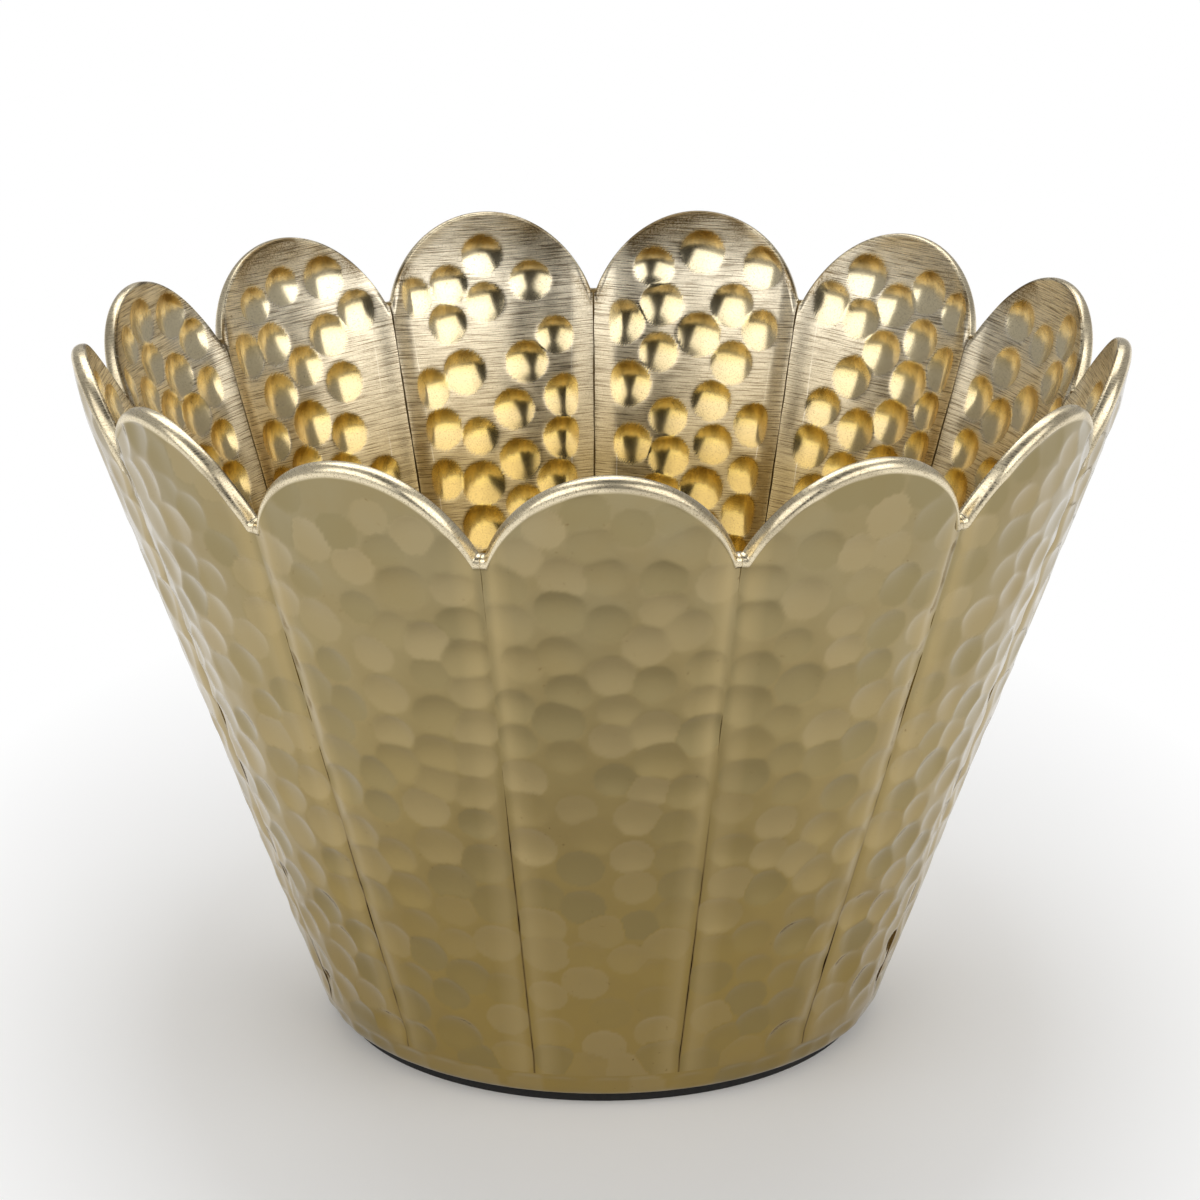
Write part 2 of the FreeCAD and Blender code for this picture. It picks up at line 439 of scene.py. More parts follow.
# The warm top of a dent is a painted reflection of the orange wall opposite.
PAINTED_TOP_IN_MARK = (-0.25, 0.62)  # and heights in a mark where its warm top begins
DENTS_FROM_SEAM = (0.0024, 0.0062)  # the dents fade in over this strip
DIMPLES_FROM_SEAT = (0.0, 0.0065)
LOW_DEEPER, HIGH_LESS, LESS_BETWEEN = 1.25, 0.35, (0.03, 0.10)  # dimples up the sheet
CURL, CURL_WIDTH = 0.0006, 0.0048
VALLEY, VALLEY_WIDTH = 0.0005, 0.0034
WAVE, WAVE_PITCH = 0.00013, 0.022
RIM_MARGIN = 0.0030  # where the marks fade out under the rim
SEAT_MARGIN = 0.0036  # and above the foot dish
OPEN_BELOW, CLOSED_ABOVE = 0.050, 0.080  # where up the sheet the seams close
SEAM_GAP = 0.00005
SEAM_RAGGED, RAGGED_PITCH = 0.55, 0.019
CREST_INSET = 0.00016  # so that the braze shows along the crest
SEAM_REACH, ARCH_REACH = 0.012, 0.030  # distances at which those two masks reach 1
MAP_STEP, MAP_INSIDE = 0.21, 0.37  # no two petals or faces share brushed lines


def make_petal(index):
    """One hammered petal as a closed mesh, with its map and its masks."""
    source = random.Random(ARCH_SEED + index)
    lean, lift = source.uniform(*LEAN), source.uniform(*LIFT)
    arch_top = STRAIGHT + DOME + lift
    inside_marks = lay_out_marks(INSIDE_SEED + index, INSIDE_MARKS, arch_top)
    outside_marks = lay_out_marks(OUTSIDE_SEED + index, OUTSIDE_MARKS, arch_top)

    # The columns stand closer near the seams, where the sheet curls.
    shell, column, row = flat_grid()
    even = np.linspace(-1.0, 1.0, COLUMNS + 1)
    spread = 0.5 * even + 0.5 * np.sin(even * math.pi / 2.0)
    across = spread[column]
    laid = lay_sheet(spread, column, row, lean, lift)
    up, depth, rim, outside, inner, from_arch, from_seat = laid
    half_width = sheet_half_width(up)
    sheet_x = across * half_width
    from_seam = half_width - np.abs(sheet_x)

    dents, lean_up, _ = mark_depths(sheet_x, up, inside_marks, MARK_EDGE_IN)
    dents = dents * smooth_step(*DENTS_FROM_SEAM, from_seam)
    dimples, _, painted_facet_light = mark_depths(sheet_x, up, outside_marks, MARK_EDGE_OUT)
    dimples = dimples * (LOW_DEEPER - HIGH_LESS * smooth_step(*LESS_BETWEEN, up))
    dimples = dimples * smooth_step(*DIMPLES_FROM_SEAT, from_seat)
    curl = CURL * (1.0 - smooth_step(0.0, CURL_WIDTH, from_seam))
    valley = VALLEY * (1.0 - smooth_step(0.0, VALLEY_WIDTH, from_seam))
    kept = smooth_step(0.0, RIM_MARGIN, from_arch)
    seated = smooth_step(0.0, SEAT_MARGIN, from_seat)
    wave = WAVE * wobble(sheet_x + 0.3 * up, WAVE_SEED + index, WAVE_PITCH) * kept * seated
    depth = np.where(inner & (rim < 0.5), depth - dents * kept + curl * kept + wave, depth)
    depth = np.where(outside, depth + (dimples + valley) * kept * seated + wave, depth)

    opening = 1.0 - smooth_step(OPEN_BELOW, CLOSED_ABOVE, up)
    ragged = 1.0 + SEAM_RAGGED * wobble(up, SEAM_SEED + index, RAGGED_PITCH)
    outer_gap = SEAM_GAP * opening * (0.4 + 0.6 * seated) * ragged
    gap = np.where(inner, CREST_INSET * ragged, outer_gap)
    bend_and_turn(shell, index, across, up, depth, gap)
    close_shell(shell, column, row)
    mesh = bpy.data.meshes.new("petal_%02d_hammered" % (index + 1))
    shell.to_mesh(mesh)
    shell.free()

    in_dent = smooth_step(*IN_MARK, dents)
    add_masks(mesh, {
        "inner": inner.astype(float),
        "dent": in_dent * kept * inner,
        # Painted reflection: the warm top of each dent, for the orange wall opposite that it
        # mirrors.
        "painted_top_reflection": smooth_step(*PAINTED_TOP_IN_MARK, lean_up) * in_dent * inner,
        # Painted reflection: a lighter or darker tone for each outer mark.
        "painted_facet_light": np.where(inner, 0.5, painted_facet_light),
        "rim": rim,
        "opening": opening,
        "from_seam": np.clip(from_seam / SEAM_REACH, 0.0, 1.0),
        "from_arch": np.clip(from_arch / ARCH_REACH, 0.0, 1.0),
    })
    add_sheet_map(mesh, sheet_x + MAP_STEP * index, up + MAP_INSIDE * inner)
    return mesh


# %% [markdown]
# ## Finishes
#
# Polished brass is a full metal: its colour is the colour of its reflections. The
# sheet was brushed across before it was hammered, so fine lines cross the flat lands
# between the dents, while the hammer left the dents smooth and shiny. The small
# effects that several finishes share are built once, as node groups.

# %% Small helpers
def new_object(name, data):
    """An object in the scene, at the origin."""
    made = bpy.data.objects.new(name, data)
    bpy.context.collection.objects.link(made)
    return made


def new_group(name, inputs, outputs):
    """An empty node group with its sockets, and the nodes at its two ends."""
    group = bpy.data.node_groups.new(name, "ShaderNodeTree")
    for socket, kind, default in inputs:
        made = group.interface.new_socket(name=socket, in_out="INPUT", socket_type=kind)
        if default is not None:
            made.default_value = default
    for socket, kind in outputs:
        group.interface.new_socket(name=socket, in_out="OUTPUT", socket_type=kind)
    source = group.nodes.new("NodeGroupInput")
    sink = group.nodes.new("NodeGroupOutput")
    return group, source, sink


def add_node(tree, kind, **settings):
    """A node with its settings; a name that is no setting is one of its sockets."""
    node = tree.nodes.new(kind)
    for name, value in settings.items():
        if name in node.bl_rna.properties:
            setattr(node, name, value)
        else:
            node.inputs[name.replace("_", " ")].default_value = value
    return node


def scalar(tree, operation, first, second=None, third=None):
    """A Math node; numbers are set on its sockets and sockets are linked to them."""
    node = add_node(tree, "ShaderNodeMath", operation=operation)
    for slot, value in enumerate((first, second, third)):
        if value is None:
            continue
        if isinstance(value, (int, float)):
            node.inputs[slot].default_value = value
        else:
            tree.links.new(value, node.inputs[slot])
    return node.outputs[0]


def product(tree, first, *others):
    """Several values multiplied with each other."""
    for other in others:
        first = scalar(tree, "MULTIPLY", first, other)
    return first


def mixed_colour(tree, share, first, second):
    """The first colour where the share is 0 and the second one where it is 1."""
    node = add_node(tree, "ShaderNodeMix", data_type="RGBA")
    for slot, value in ((0, share), (6, first), (7, second)):
        socket = node.inputs[slot]
        if isinstance(value, (int, float, tuple)):
            socket.default_value = value
        else:
            tree.links.new(value, socket)
    return node.outputs[2]


def ranged(tree, value, from_low, from_high, to_low, to_high):
    """A value's place between two numbers, carried over to two others and held there."""
    node = tree.nodes.new("ShaderNodeMapRange")
    tree.links.new(value, node.inputs[0])
    for slot, number in enumerate((from_low, from_high, to_low, to_high), start=1):
        node.inputs[slot].default_value = number
    return node.outputs[0]


# %% [markdown]
# Brushing leaves thousands of fine lines, all in one direction. A picture of them would
# have to be large to stay sharp. A noise texture that is stretched along one axis of a
# map in metres gives the same lines at any size, with their length and width as inputs.

# %% Brushed lines
def make_brushed_lines():
    """Fine lines along the first axis of a map given in metres."""
    group, source, sink = new_group(
        "brushed lines",
        [("Vector", "NodeSocketVector", None), ("Length", "NodeSocketFloat", 0.012),
         ("Width", "NodeSocketFloat", 0.00022)],
        [("Lines", "NodeSocketFloat")])
    split = group.nodes.new("ShaderNodeSeparateXYZ")
    join = group.nodes.new("ShaderNodeCombineXYZ")
    group.links.new(source.outputs["Vector"], split.inputs[0])
    for axis, name in enumerate(("Length", "Width")):
        stretched = scalar(group, "DIVIDE", split.outputs[axis], source.outputs[name])
        group.links.new(stretched, join.inputs[axis])
    noise = add_node(group, "ShaderNodeTexNoise", Scale=1.0, Detail=3.0, Roughness=0.6)
    group.links.new(join.outputs[0], noise.inputs["Vector"])
    group.links.new(noise.outputs["Fac"], sink.inputs["Lines"])
    return group


BRUSHED_LINES = make_brushed_lines()
print("group:", BRUSHED_LINES.name)

# %% [markdown]
# Handled brass tarnishes in brown clouds with dark specks. Two noise textures of very
# different size give both, and the specks only come where it is cloudy.

# %% Tarnish specks
def make_tarnish():
    """Cloudy tarnish with small specks, as a mask from 0 to 1."""
    group, source, sink = new_group(
        "tarnish",
        [("Vector", "NodeSocketVector", None), ("Amount", "NodeSocketFloat", 0.5)],
        [("Cloud", "NodeSocketFloat"), ("Specks", "NodeSocketFloat")])
    cloud = add_node(group, "ShaderNodeTexNoise", Scale=55.0, Detail=5.0, Roughness=0.6)
    specks = add_node(group, "ShaderNodeTexNoise", Scale=900.0, Detail=2.0, Roughness=0.5)
    for noise in (cloud, specks):
        group.links.new(source.outputs["Vector"], noise.inputs["Vector"])
    cloudy = ranged(group, cloud.outputs["Fac"], 0.42, 0.70, 0.0, 1.0)
    dots = ranged(group, specks.outputs["Fac"], 0.70, 0.78, 0.0, 1.0)
    group.links.new(product(group, cloudy, source.outputs["Amount"]), sink.inputs["Cloud"])
    group.links.new(product(group, dots, cloudy), sink.inputs["Specks"])
    return group


TARNISH = make_tarnish()
print("group:", TARNISH.name)

# %% [markdown]
# Both faces, the rim and the dish are the same metal, so they share one material. It is
# put together in layers: a colour for each face, with painted shade, highlights and
# reflections in it, then the marks' painted lighter and darker tones, then the filed
# rim, and wear and tarnish last.

# %% The petals' brass
# The outer colours are set much darker than the same brass inside: painted shade, for the darker
# room that the outer face mirrors.
OUTER_BRASS_PAINTED_SHADE = (0.330, 0.270, 0.145, 1.0)
# The next colour, browner and more saturated, is a painted reflection of the brass-tinted floor
# near the foot, used low on the wall.
OUTER_LOW_PAINTED_BOUNCE = (0.375, 0.270, 0.088, 1.0)
OUTER_CLOUD = (0.315, 0.232, 0.096, 1.0)
# The next two are darker and lighter copies for the marks: painted reflections, as each facet
# mirrors a slightly different part of the room.
OUTER_PAINTED_DARK_FACET = (0.275, 0.222, 0.105, 1.0)
OUTER_PAINTED_LIGHT_FACET = (0.450, 0.355, 0.190, 1.0)
# The strip beside each outer seam is a painted highlight of the sheet's tighter curve there.
PAINTED_SEAM_HIGHLIGHT_BRASS = (0.500, 0.385, 0.185, 1.0)
INNER_BRASS = (0.850, 0.735, 0.490, 1.0)
# The deep colour of the dents is painted shade with painted orange bounce light, deep inside the
# bowl.
DEEP_PAINTED_SHADE_BRASS = (0.455, 0.315, 0.105, 1.0)
# The warm colour is a painted reflection of the orange wall opposite, on the dents' tops.
PAINTED_WARM_REFLECTION = (0.660, 0.470, 0.125, 1.0)
LAND_BRASS = (0.890, 0.800, 0.620, 1.0)
# The deep colour of the lands is painted shade with painted orange bounce light, deep inside the
# bowl.
DEEP_PAINTED_SHADE_LAND = (0.390, 0.290, 0.135, 1.0)
LINE_BRASS = (0.120, 0.078, 0.032, 1.0)
RIM_BRASS = (0.850, 0.740, 0.520, 1.0)
TARNISHED = (0.210, 0.140, 0.055, 1.0)
# The pale line beside each inner seam is a painted highlight along the edge of the seam's curl.
PAINTED_HIGHLIGHT_BRASS = (0.930, 0.860, 0.700, 1.0)


def attribute(tree, name):
    """One of the masks that the mesh carries."""
    return add_node(tree, "ShaderNodeAttribute", attribute_name=name).outputs["Fac"]


def place_group(tree, group, vector, **numbers):
    """One of the shared effects, with this material's own numbers."""
    node = tree.nodes.new("ShaderNodeGroup")
    node.node_tree = group
    tree.links.new(vector, node.inputs["Vector"])
    for name, value in numbers.items():
        node.inputs[name].default_value = value
    return node


def start_material(name, **numbers):
    """A new material with its nodes and its shader, on which plain numbers are set."""
    material = bpy.data.materials.new(name)
    material.use_nodes = True
    shader = material.node_tree.nodes["Principled BSDF"]
    for socket, value in numbers.items():
        shader.inputs[socket.replace("_", " ")].default_value = value
    return material, material.node_tree, shader


def object_noise(tree, place, **numbers):
    noise = add_node(tree, "ShaderNodeTexNoise", **numbers)
    tree.links.new(place, noise.inputs["Vector"])
    return noise.outputs["Fac"]


print("brass from", OUTER_PAINTED_DARK_FACET[:3], "to", PAINTED_HIGHLIGHT_BRASS[:3])

# %% [markdown]
# Outside, the colour is set darker and duller than inside: painted shade, for the darker
# room that the outer face mirrors. Low down it turns browner, a painted reflection of the
# brass-tinted floor near the foot. Beside each seam runs a paler strip, a painted
# highlight of the sheet's tighter curve there. Inside, the dents are bright, and their
# top edge is warmed with a painted reflection of the orange wall opposite. All turns
# brown towards the floor: painted shade and painted orange bounce light deep in the
# bowl. Heights are in metres.

# %% The colours of the two faces
# Outside, the painted reflection of the brass-tinted floor fades out between these heights.
PAINTED_BOUNCE_FADE = (0.030, 0.132)  # outside, from the browner foot to the paler tips
# Inside, the painted shade and orange bounce light grow between these heights.
PAINTED_SHADE_DEPTHS = (0.128, 0.090)  # inside, from bright to brown
# Inside, the dents' painted warm reflection grows stronger between these heights.
PAINTED_TOPS_DEEP = (0.128, 0.100)  # inside, where the dents' warm tops grow stronger


def outside_colour_with_painted_light(tree, height, from_seam, cloud):
    """Brass set darker as painted shade, with clouds, a painted reflection browner low down, a
    painted lighter or darker tone in each mark and a painted highlight by each seam.
    """
    # Browner low down: a painted reflection of the brass-tinted floor near the foot.
    base = mixed_colour(tree, ranged(tree, height, *PAINTED_BOUNCE_FADE, 0.0, 1.0), OUTER_LOW_PAINTED_BOUNCE, OUTER_BRASS_PAINTED_SHADE)
    base = mixed_colour(tree, cloud, base, OUTER_CLOUD)
    # Each mark's painted reflection, lighter or darker.
    painted_facet_light = attribute(tree, "painted_facet_light")
    base = mixed_colour(tree, ranged(tree, painted_facet_light, 0.5, 0.0, 0.0, 0.55), base, OUTER_PAINTED_DARK_FACET)
    base = mixed_colour(tree, ranged(tree, painted_facet_light, 0.5, 1.0, 0.0, 0.40), base, OUTER_PAINTED_LIGHT_FACET)
    # Painted highlight: a paler strip beside each seam.
    painted_seam_highlight = product(tree, ranged(tree, from_seam, 0.04, 0.14, 0.0, 0.45),
                          ranged(tree, from_seam, 0.20, 0.46, 1.0, 0.0))
    return mixed_colour(tree, painted_seam_highlight, base, PAINTED_SEAM_HIGHLIGHT_BRASS)


def inside_colour_with_painted_light(tree, height, dent, grain):
    """Bright dents on paler lands, with a painted warm reflection on the dents' tops and painted
    shade towards the floor.
    """
    # Painted shade and painted orange bounce light, darker and browner towards the floor.
    painted_deep_shade = ranged(tree, height, *PAINTED_SHADE_DEPTHS, 0.0, 1.0)
    base = mixed_colour(tree, dent, mixed_colour(tree, painted_deep_shade, LAND_BRASS, DEEP_PAINTED_SHADE_LAND),
                        mixed_colour(tree, painted_deep_shade, INNER_BRASS, DEEP_PAINTED_SHADE_BRASS))
    # Painted reflection: each dent's top warmed as if mirroring the orange wall opposite.
    painted_warm_top = product(tree, attribute(tree, "painted_top_reflection"), ranged(tree, height, *PAINTED_TOPS_DEEP, 0.35, 1.0))
    base = mixed_colour(tree, painted_warm_top, base, PAINTED_WARM_REFLECTION)
    return mixed_colour(tree, ranged(tree, grain, 0.50, 0.72, 0.0, 0.40), base, LINE_BRASS)


# %% [markdown]
# The rim is filed and then worn, so it is pale with short streaks and dark patches. The
# brushed lines cross only the lands inside. A thin pale line, a painted highlight along
# the edge of the seam's curl, runs beside each seam inside, and dirt sits in the open seams.

# %% The rim, the wear and the lines
# Place and width of the painted highlight line along the edge of the seam's curl.
HIGHLIGHT_LINE_AT, HIGHLIGHT_LINE_WIDE = 0.395, 0.008  # as shares of SEAM_REACH


def rim_wear(tree, base, rim, inner, grain, patches):
    """The pale filed rim with its streaks and its dark patches."""
    base = mixed_colour(tree, rim, base, RIM_BRASS)
    streaks = product(tree, ranged(tree, grain, 0.52, 0.68, 0.0, 0.6), rim)
    base = mixed_colour(tree, streaks, base, TARNISHED)
    worn = product(tree, ranged(tree, patches, 0.50, 0.60, 0.0, 0.80), rim,
                   ranged(tree, inner, 0.0, 1.0, 0.35, 1.0))
    return mixed_colour(tree, worn, base, LINE_BRASS)


def inner_wear(tree, base, inner_land, grain, patches, lines):
    """Tarnish under the rim and the dark brushed lines, on the lands inside."""
    near_arch = ranged(tree, attribute(tree, "from_arch"), 0.06, 0.24, 0.9, 0.0)
    margin = product(tree, ranged(tree, patches, 0.48, 0.58, 0.0, 1.0), near_arch, inner_land,
                     ranged(tree, grain, 0.42, 0.60, 0.3, 1.0))
    base = mixed_colour(tree, margin, base, TARNISHED)
    dark_lines = product(tree, ranged(tree, lines, 0.37, 0.55, 0.74, 0.0), inner_land)
    return mixed_colour(tree, dark_lines, base, LINE_BRASS)


def seam_dirt_and_painted_highlight(tree, base, from_seam, inner_land, tarnish):
    """The painted highlight line, the dirt in the open seams and the specks all over."""
    # Painted highlight: a thin pale line along the edge of each seam's curl.
    painted_highlight_line = scalar(tree, "COMPARE", from_seam, HIGHLIGHT_LINE_AT, HIGHLIGHT_LINE_WIDE)
    painted_highlight_line = product(tree, painted_highlight_line, inner_land, tarnish.outputs["Cloud"])
    base = mixed_colour(tree, painted_highlight_line, base, PAINTED_HIGHLIGHT_BRASS)
    seam_line = product(tree, ranged(tree, from_seam, 0.006, 0.024, 0.8, 0.0),
                        attribute(tree, "opening"))
    base = mixed_colour(tree, seam_line, base, TARNISHED)
    return mixed_colour(tree, tarnish.outputs["Specks"], base, TARNISHED)


# %% [markdown]
# How blurred the reflections are says as much as the colour. The hammer leaves the
# marks smooth, while brushing and filing leave the lands and the rim duller. The lines
# also make a very low bump, as they are far too fine for the mesh.

# %% The polish
OUTER_POLISH, DENT_POLISH = 0.14, 0.18  # roughness of the smooth faces
LAND_POLISH, RIM_POLISH = (0.24, 0.36), (0.22, 0.38)  # and across the brushed lines
LINE_DEPTH = 0.00004


def brass_roughness(tree, lines, inner, dent, rim, inner_land):
    """Roughness of the lands, the outer face, the dents and the rim."""
    rough = product(tree, ranged(tree, lines, 0.3, 0.7, *LAND_POLISH), inner_land)
    outer = product(tree, scalar(tree, "SUBTRACT", 1.0, inner), OUTER_POLISH)
    dents = product(tree, inner, dent, DENT_POLISH)
    rough = scalar(tree, "ADD", scalar(tree, "ADD", rough, outer), dents)
    rough = product(tree, rough, scalar(tree, "SUBTRACT", 1.0, rim))
    filed = product(tree, ranged(tree, lines, 0.35, 0.65, *RIM_POLISH), rim)
    return scalar(tree, "ADD", rough, filed)


def brushed_bump(tree, lines, inner, inner_land):
    """Normals of the brushed lines, clear on the lands and faint elsewhere."""
    bump = add_node(tree, "ShaderNodeBump", Strength=1.0, Distance=LINE_DEPTH)
    share = scalar(tree, "ADD", inner_land, product(tree, inner, 0.06))
    relief = product(tree, lines, scalar(tree, "ADD", share, 0.02))
    tree.links.new(relief, bump.inputs["Height"])
    return bump.outputs["Normal"]


def make_hammered_brass():
    material, tree, shader = start_material("hammered brass", Metallic=1.0)
    sheet_map = add_node(tree, "ShaderNodeUVMap", uv_map="sheet").outputs["UV"]
    place = tree.nodes.new("ShaderNodeTexCoord").outputs["Object"]
    split = tree.nodes.new("ShaderNodeSeparateXYZ")
    tree.links.new(place, split.inputs[0])
    height = split.outputs[2]
    inner, dent, rim = (attribute(tree, name) for name in ("inner", "dent", "rim"))
    from_seam = attribute(tree, "from_seam")
    inner_land = product(tree, inner, scalar(tree, "SUBTRACT", 1.0, dent))
    brushed = place_group(tree, BRUSHED_LINES, sheet_map, Length=0.009, Width=0.00027)
    lines = brushed.outputs["Lines"]
    tarnish = place_group(tree, TARNISH, place, Amount=0.5)
    grain = object_noise(tree, place, Scale=3600.0, Detail=2.0, Roughness=0.6)
    patches = object_noise(tree, place, Scale=75.0, Detail=1.0, Roughness=0.5)

    outer_base = outside_colour_with_painted_light(tree, height, from_seam, tarnish.outputs["Cloud"])
    base = mixed_colour(tree, inner, outer_base, inside_colour_with_painted_light(tree, height, dent, grain))
    base = rim_wear(tree, base, rim, inner, grain, patches)
    base = inner_wear(tree, base, inner_land, grain, patches, lines)
    base = seam_dirt_and_painted_highlight(tree, base, from_seam, inner_land, tarnish)
    tree.links.new(base, shader.inputs["Base Color"])
    rough = brass_roughness(tree, lines, inner, dent, rim, inner_land)
    tree.links.new(rough, shader.inputs["Roughness"])
    tree.links.new(brushed_bump(tree, lines, inner, inner_land), shader.inputs["Normal"])
    return material


HAMMERED_BRASS = make_hammered_brass()
print("brass nodes:", len(HAMMERED_BRASS.node_tree.nodes))

# %% [markdown]
# Each petal gets a mesh of its own, already turned to its place round the bowl, so its
# object stays at the origin. It takes the place of the solid petal of the same number.

# %% Build the petals
petals = []
for petal_index in range(PETAL_COUNT):
    node_name = "petal_%02d" % (petal_index + 1)
    petal = new_object(node_name + "_hammered", make_petal(petal_index))
    petal.data.materials.append(HAMMERED_BRASS)
    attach(petal, "root")
    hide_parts(node_name)
    petals.append(petal)
print("petals:", len(petals), "faces each:", len(petals[0].data.polygons))


# %% [markdown]
# ## Braze, dish and pad
#
# The foot is a shallow dish, pressed from the same sheet and hammered like the petals,
# so it gets a finer mesh as well. Half its section, drawn once, is spun round the axis,
# and the marks are then pressed into the points. Those on its side run in one row, and
# those on its floor in rings, as a smith works outwards from the middle.

# %% The foot dish
DISH_SHEET = 0.0030
FOOT_CORNER = 0.0040
INNER_CORNER = 0.0012
DISH_STEPS = 360  # steps of the spin
CORNER_STEPS = 8
WALL_STEPS = 8
FLOOR_RINGS = 60
FLOOR_PITCH = 0.0094  # between the marks on the floor
MARK_RINGS = 5
SIDE_MARKS = 44  # marks round the side
SIDE_MARK_HEIGHT, SIDE_MARK_RADIUS = (0.0036, 0.0060), (0.0036, 0.0046)
SIDE_MARK_DEPTH = (0.00038, 0.00055)
SIDE_FADE_IN = (0.0021, 0.0040)  # heights between which the side's marks begin
SIDE_FADE_OUT = (0.0060, SEAT_HEIGHT)
SIDE_FROM = FOOT_RADIUS - 0.0022  # radius from which a point belongs to the side
FLOOR_FADE = (0.0500, 0.0530)  # radii between which the floor's marks end
CRISP_ANGLE = math.radians(35)


def dish_outline():
    """Half section of the dish from the axis underneath to the axis on the floor."""
    def wall(z, inset=0.0):
        return FOOT_RADIUS + WALL_SLOPE * (z - PAD_THICKNESS) - inset

    through = SHEET / math.cos(FLARE)
    centre = FOOT_RADIUS - FOOT_CORNER * (1.0 / math.cos(FLARE) - math.tan(FLARE))
    floor_top = PAD_THICKNESS + DISH_SHEET
    points = [(0.0, PAD_THICKNESS), (0.5 * centre, PAD_THICKNESS)]
    for step in range(CORNER_STEPS + 1):
        turn = (0.5 * math.pi - FLARE) * step / CORNER_STEPS - 0.5 * math.pi
        points.append((centre + FOOT_CORNER * math.cos(turn),
                       PAD_THICKNESS + FOOT_CORNER * (1.0 + math.sin(turn))))
    low = points[-1][1]
    for step in range(1, WALL_STEPS + 1):
        z = low + (SEAT_HEIGHT - low) * step / WALL_STEPS
        points.append((wall(z), z))
    bevel_top = floor_top + INNER_CORNER
    points += [(wall(SEAT_HEIGHT, through), SEAT_HEIGHT), (wall(bevel_top, through), bevel_top),
               (wall(floor_top, through) - INNER_CORNER, floor_top)]
    floor_radius = points[-1][0]
    points += [(floor_radius * (1.0 - ring / FLOOR_RINGS), floor_top)
               for ring in range(1, FLOOR_RINGS + 1)]
    return points


def floor_marks():
    """Marks in rings round the one in the middle of the floor."""
    source = random.Random(23)
    marks = [(0.0, 0.0, 0.0046, 0.0006)]
    for ring in range(1, MARK_RINGS + 1):
        radius = FLOOR_PITCH * ring
        count = round(math.tau * radius / FLOOR_PITCH)
        for place in range(count):
            turn = (place + 0.5 * ring + source.uniform(-0.12, 0.12)) * math.tau / count
            here = radius + source.uniform(-0.0007, 0.0007)
            marks.append((here * math.cos(turn), here * math.sin(turn),
                          source.uniform(0.0042, 0.0049), source.uniform(0.0005, 0.0007)))
    return np.array(marks)


def side_marks():
    """One row of marks round the dish's side, by way along it and height."""
    source = random.Random(17)
    pitch = FOOT_RADIUS * math.tau / SIDE_MARKS
    return np.array([(pitch * (turn + source.uniform(-0.3, 0.3)),
                      source.uniform(*SIDE_MARK_HEIGHT), source.uniform(*SIDE_MARK_RADIUS),
                      source.uniform(*SIDE_MARK_DEPTH)) for turn in range(SIDE_MARKS)])


def spin_dish():
    """The plain dish as a closed mesh in the making."""
    shell = bmesh.new()
    verts = [shell.verts.new((x, 0.0, z)) for x, z in dish_outline()]
    line = [shell.edges.new(pair) for pair in zip(verts, verts[1:])]
    bmesh.ops.spin(shell, geom=verts + line, cent=(0, 0, 0), axis=(0, 0, 1),
                   angle=math.tau, steps=DISH_STEPS, use_merge=True)
    bmesh.ops.remove_doubles(shell, verts=shell.verts, dist=1e-7)
    bmesh.ops.recalc_face_normals(shell, faces=shell.faces)
    return shell


def make_dish():
    """The dish with its marks pressed in, its map and the same masks as a petal."""
    shell = spin_dish()
    x, y, z = np.array([vert.co[:] for vert in shell.verts]).T
    radius = np.hypot(x, y)
    along = (np.arctan2(y, x) % math.tau) * FOOT_RADIUS
    outside = radius > SIDE_FROM
    sunk, _, painted_facet_light = mark_depths(along, z, side_marks(), MARK_EDGE_OUT)
    sunk *= outside * (1.0 - smooth_step(*SIDE_FADE_OUT, z)) * smooth_step(*SIDE_FADE_IN, z)
    on_floor = np.abs(z - PAD_THICKNESS - DISH_SHEET) < 1e-6
    pressed = mark_depths(x, y, floor_marks(), MARK_EDGE_IN)[0] * on_floor
    pressed *= 1.0 - smooth_step(*FLOOR_FADE, radius)
    for vert, amount, drop in zip(shell.verts, sunk.tolist(), pressed.tolist()):
        vert.co -= Vector((vert.co.x, vert.co.y, 0.0)).normalized() * amount
        vert.co.z -= drop
    for face in shell.faces:
        face.smooth = True
    for edge in shell.edges:
        if len(edge.link_faces) == 2 and edge.calc_face_angle() > CRISP_ANGLE:
            edge.smooth = False
    mesh = bpy.data.meshes.new("foot_dish_hammered")
    shell.to_mesh(mesh)
    shell.free()

    inner = (z > PAD_THICKNESS + 0.5 * DISH_SHEET) & ~outside
    nowhere, everywhere = np.zeros(len(z)), np.ones(len(z))
    add_masks(mesh, {
        "inner": inner.astype(float),
        "dent": smooth_step(*IN_MARK, pressed),
        "painted_top_reflection": nowhere,
        # The dish's side marks get the same painted lighter or darker reflections.
        "painted_facet_light": np.where(sunk > MARK_EDGE_OUT, painted_facet_light, 0.5),
        "rim": nowhere,
        "opening": nowhere,
        "from_seam": everywhere,
        "from_arch": everywhere,
    })
    add_sheet_map(mesh, np.where(inner, x, along), np.where(inner, y, z))
    return mesh


dish = new_object("foot_dish_hammered", make_dish())
dish.data.materials.append(HAMMERED_BRASS)
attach(dish, "root")
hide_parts("foot_dish")
print("dish faces:", len(dish.data.polygons))

# %% [markdown]
# The braze and the pad keep their solids, as nothing shaped them further, and only get
# finishes: dull brown braze in the seams, yellower braze inside the foot, black rubber.

# %% Finishes of the small pieces
SEAM_BRAZE = (0.20, 0.14, 0.06, 1.0)
FOOT_BRAZE = (0.60, 0.46, 0.22, 1.0)
BLACK_RUBBER = (0.010, 0.010, 0.011, 1.0)
DUSTY_RUBBER = (0.030, 0.029, 0.028, 1.0)


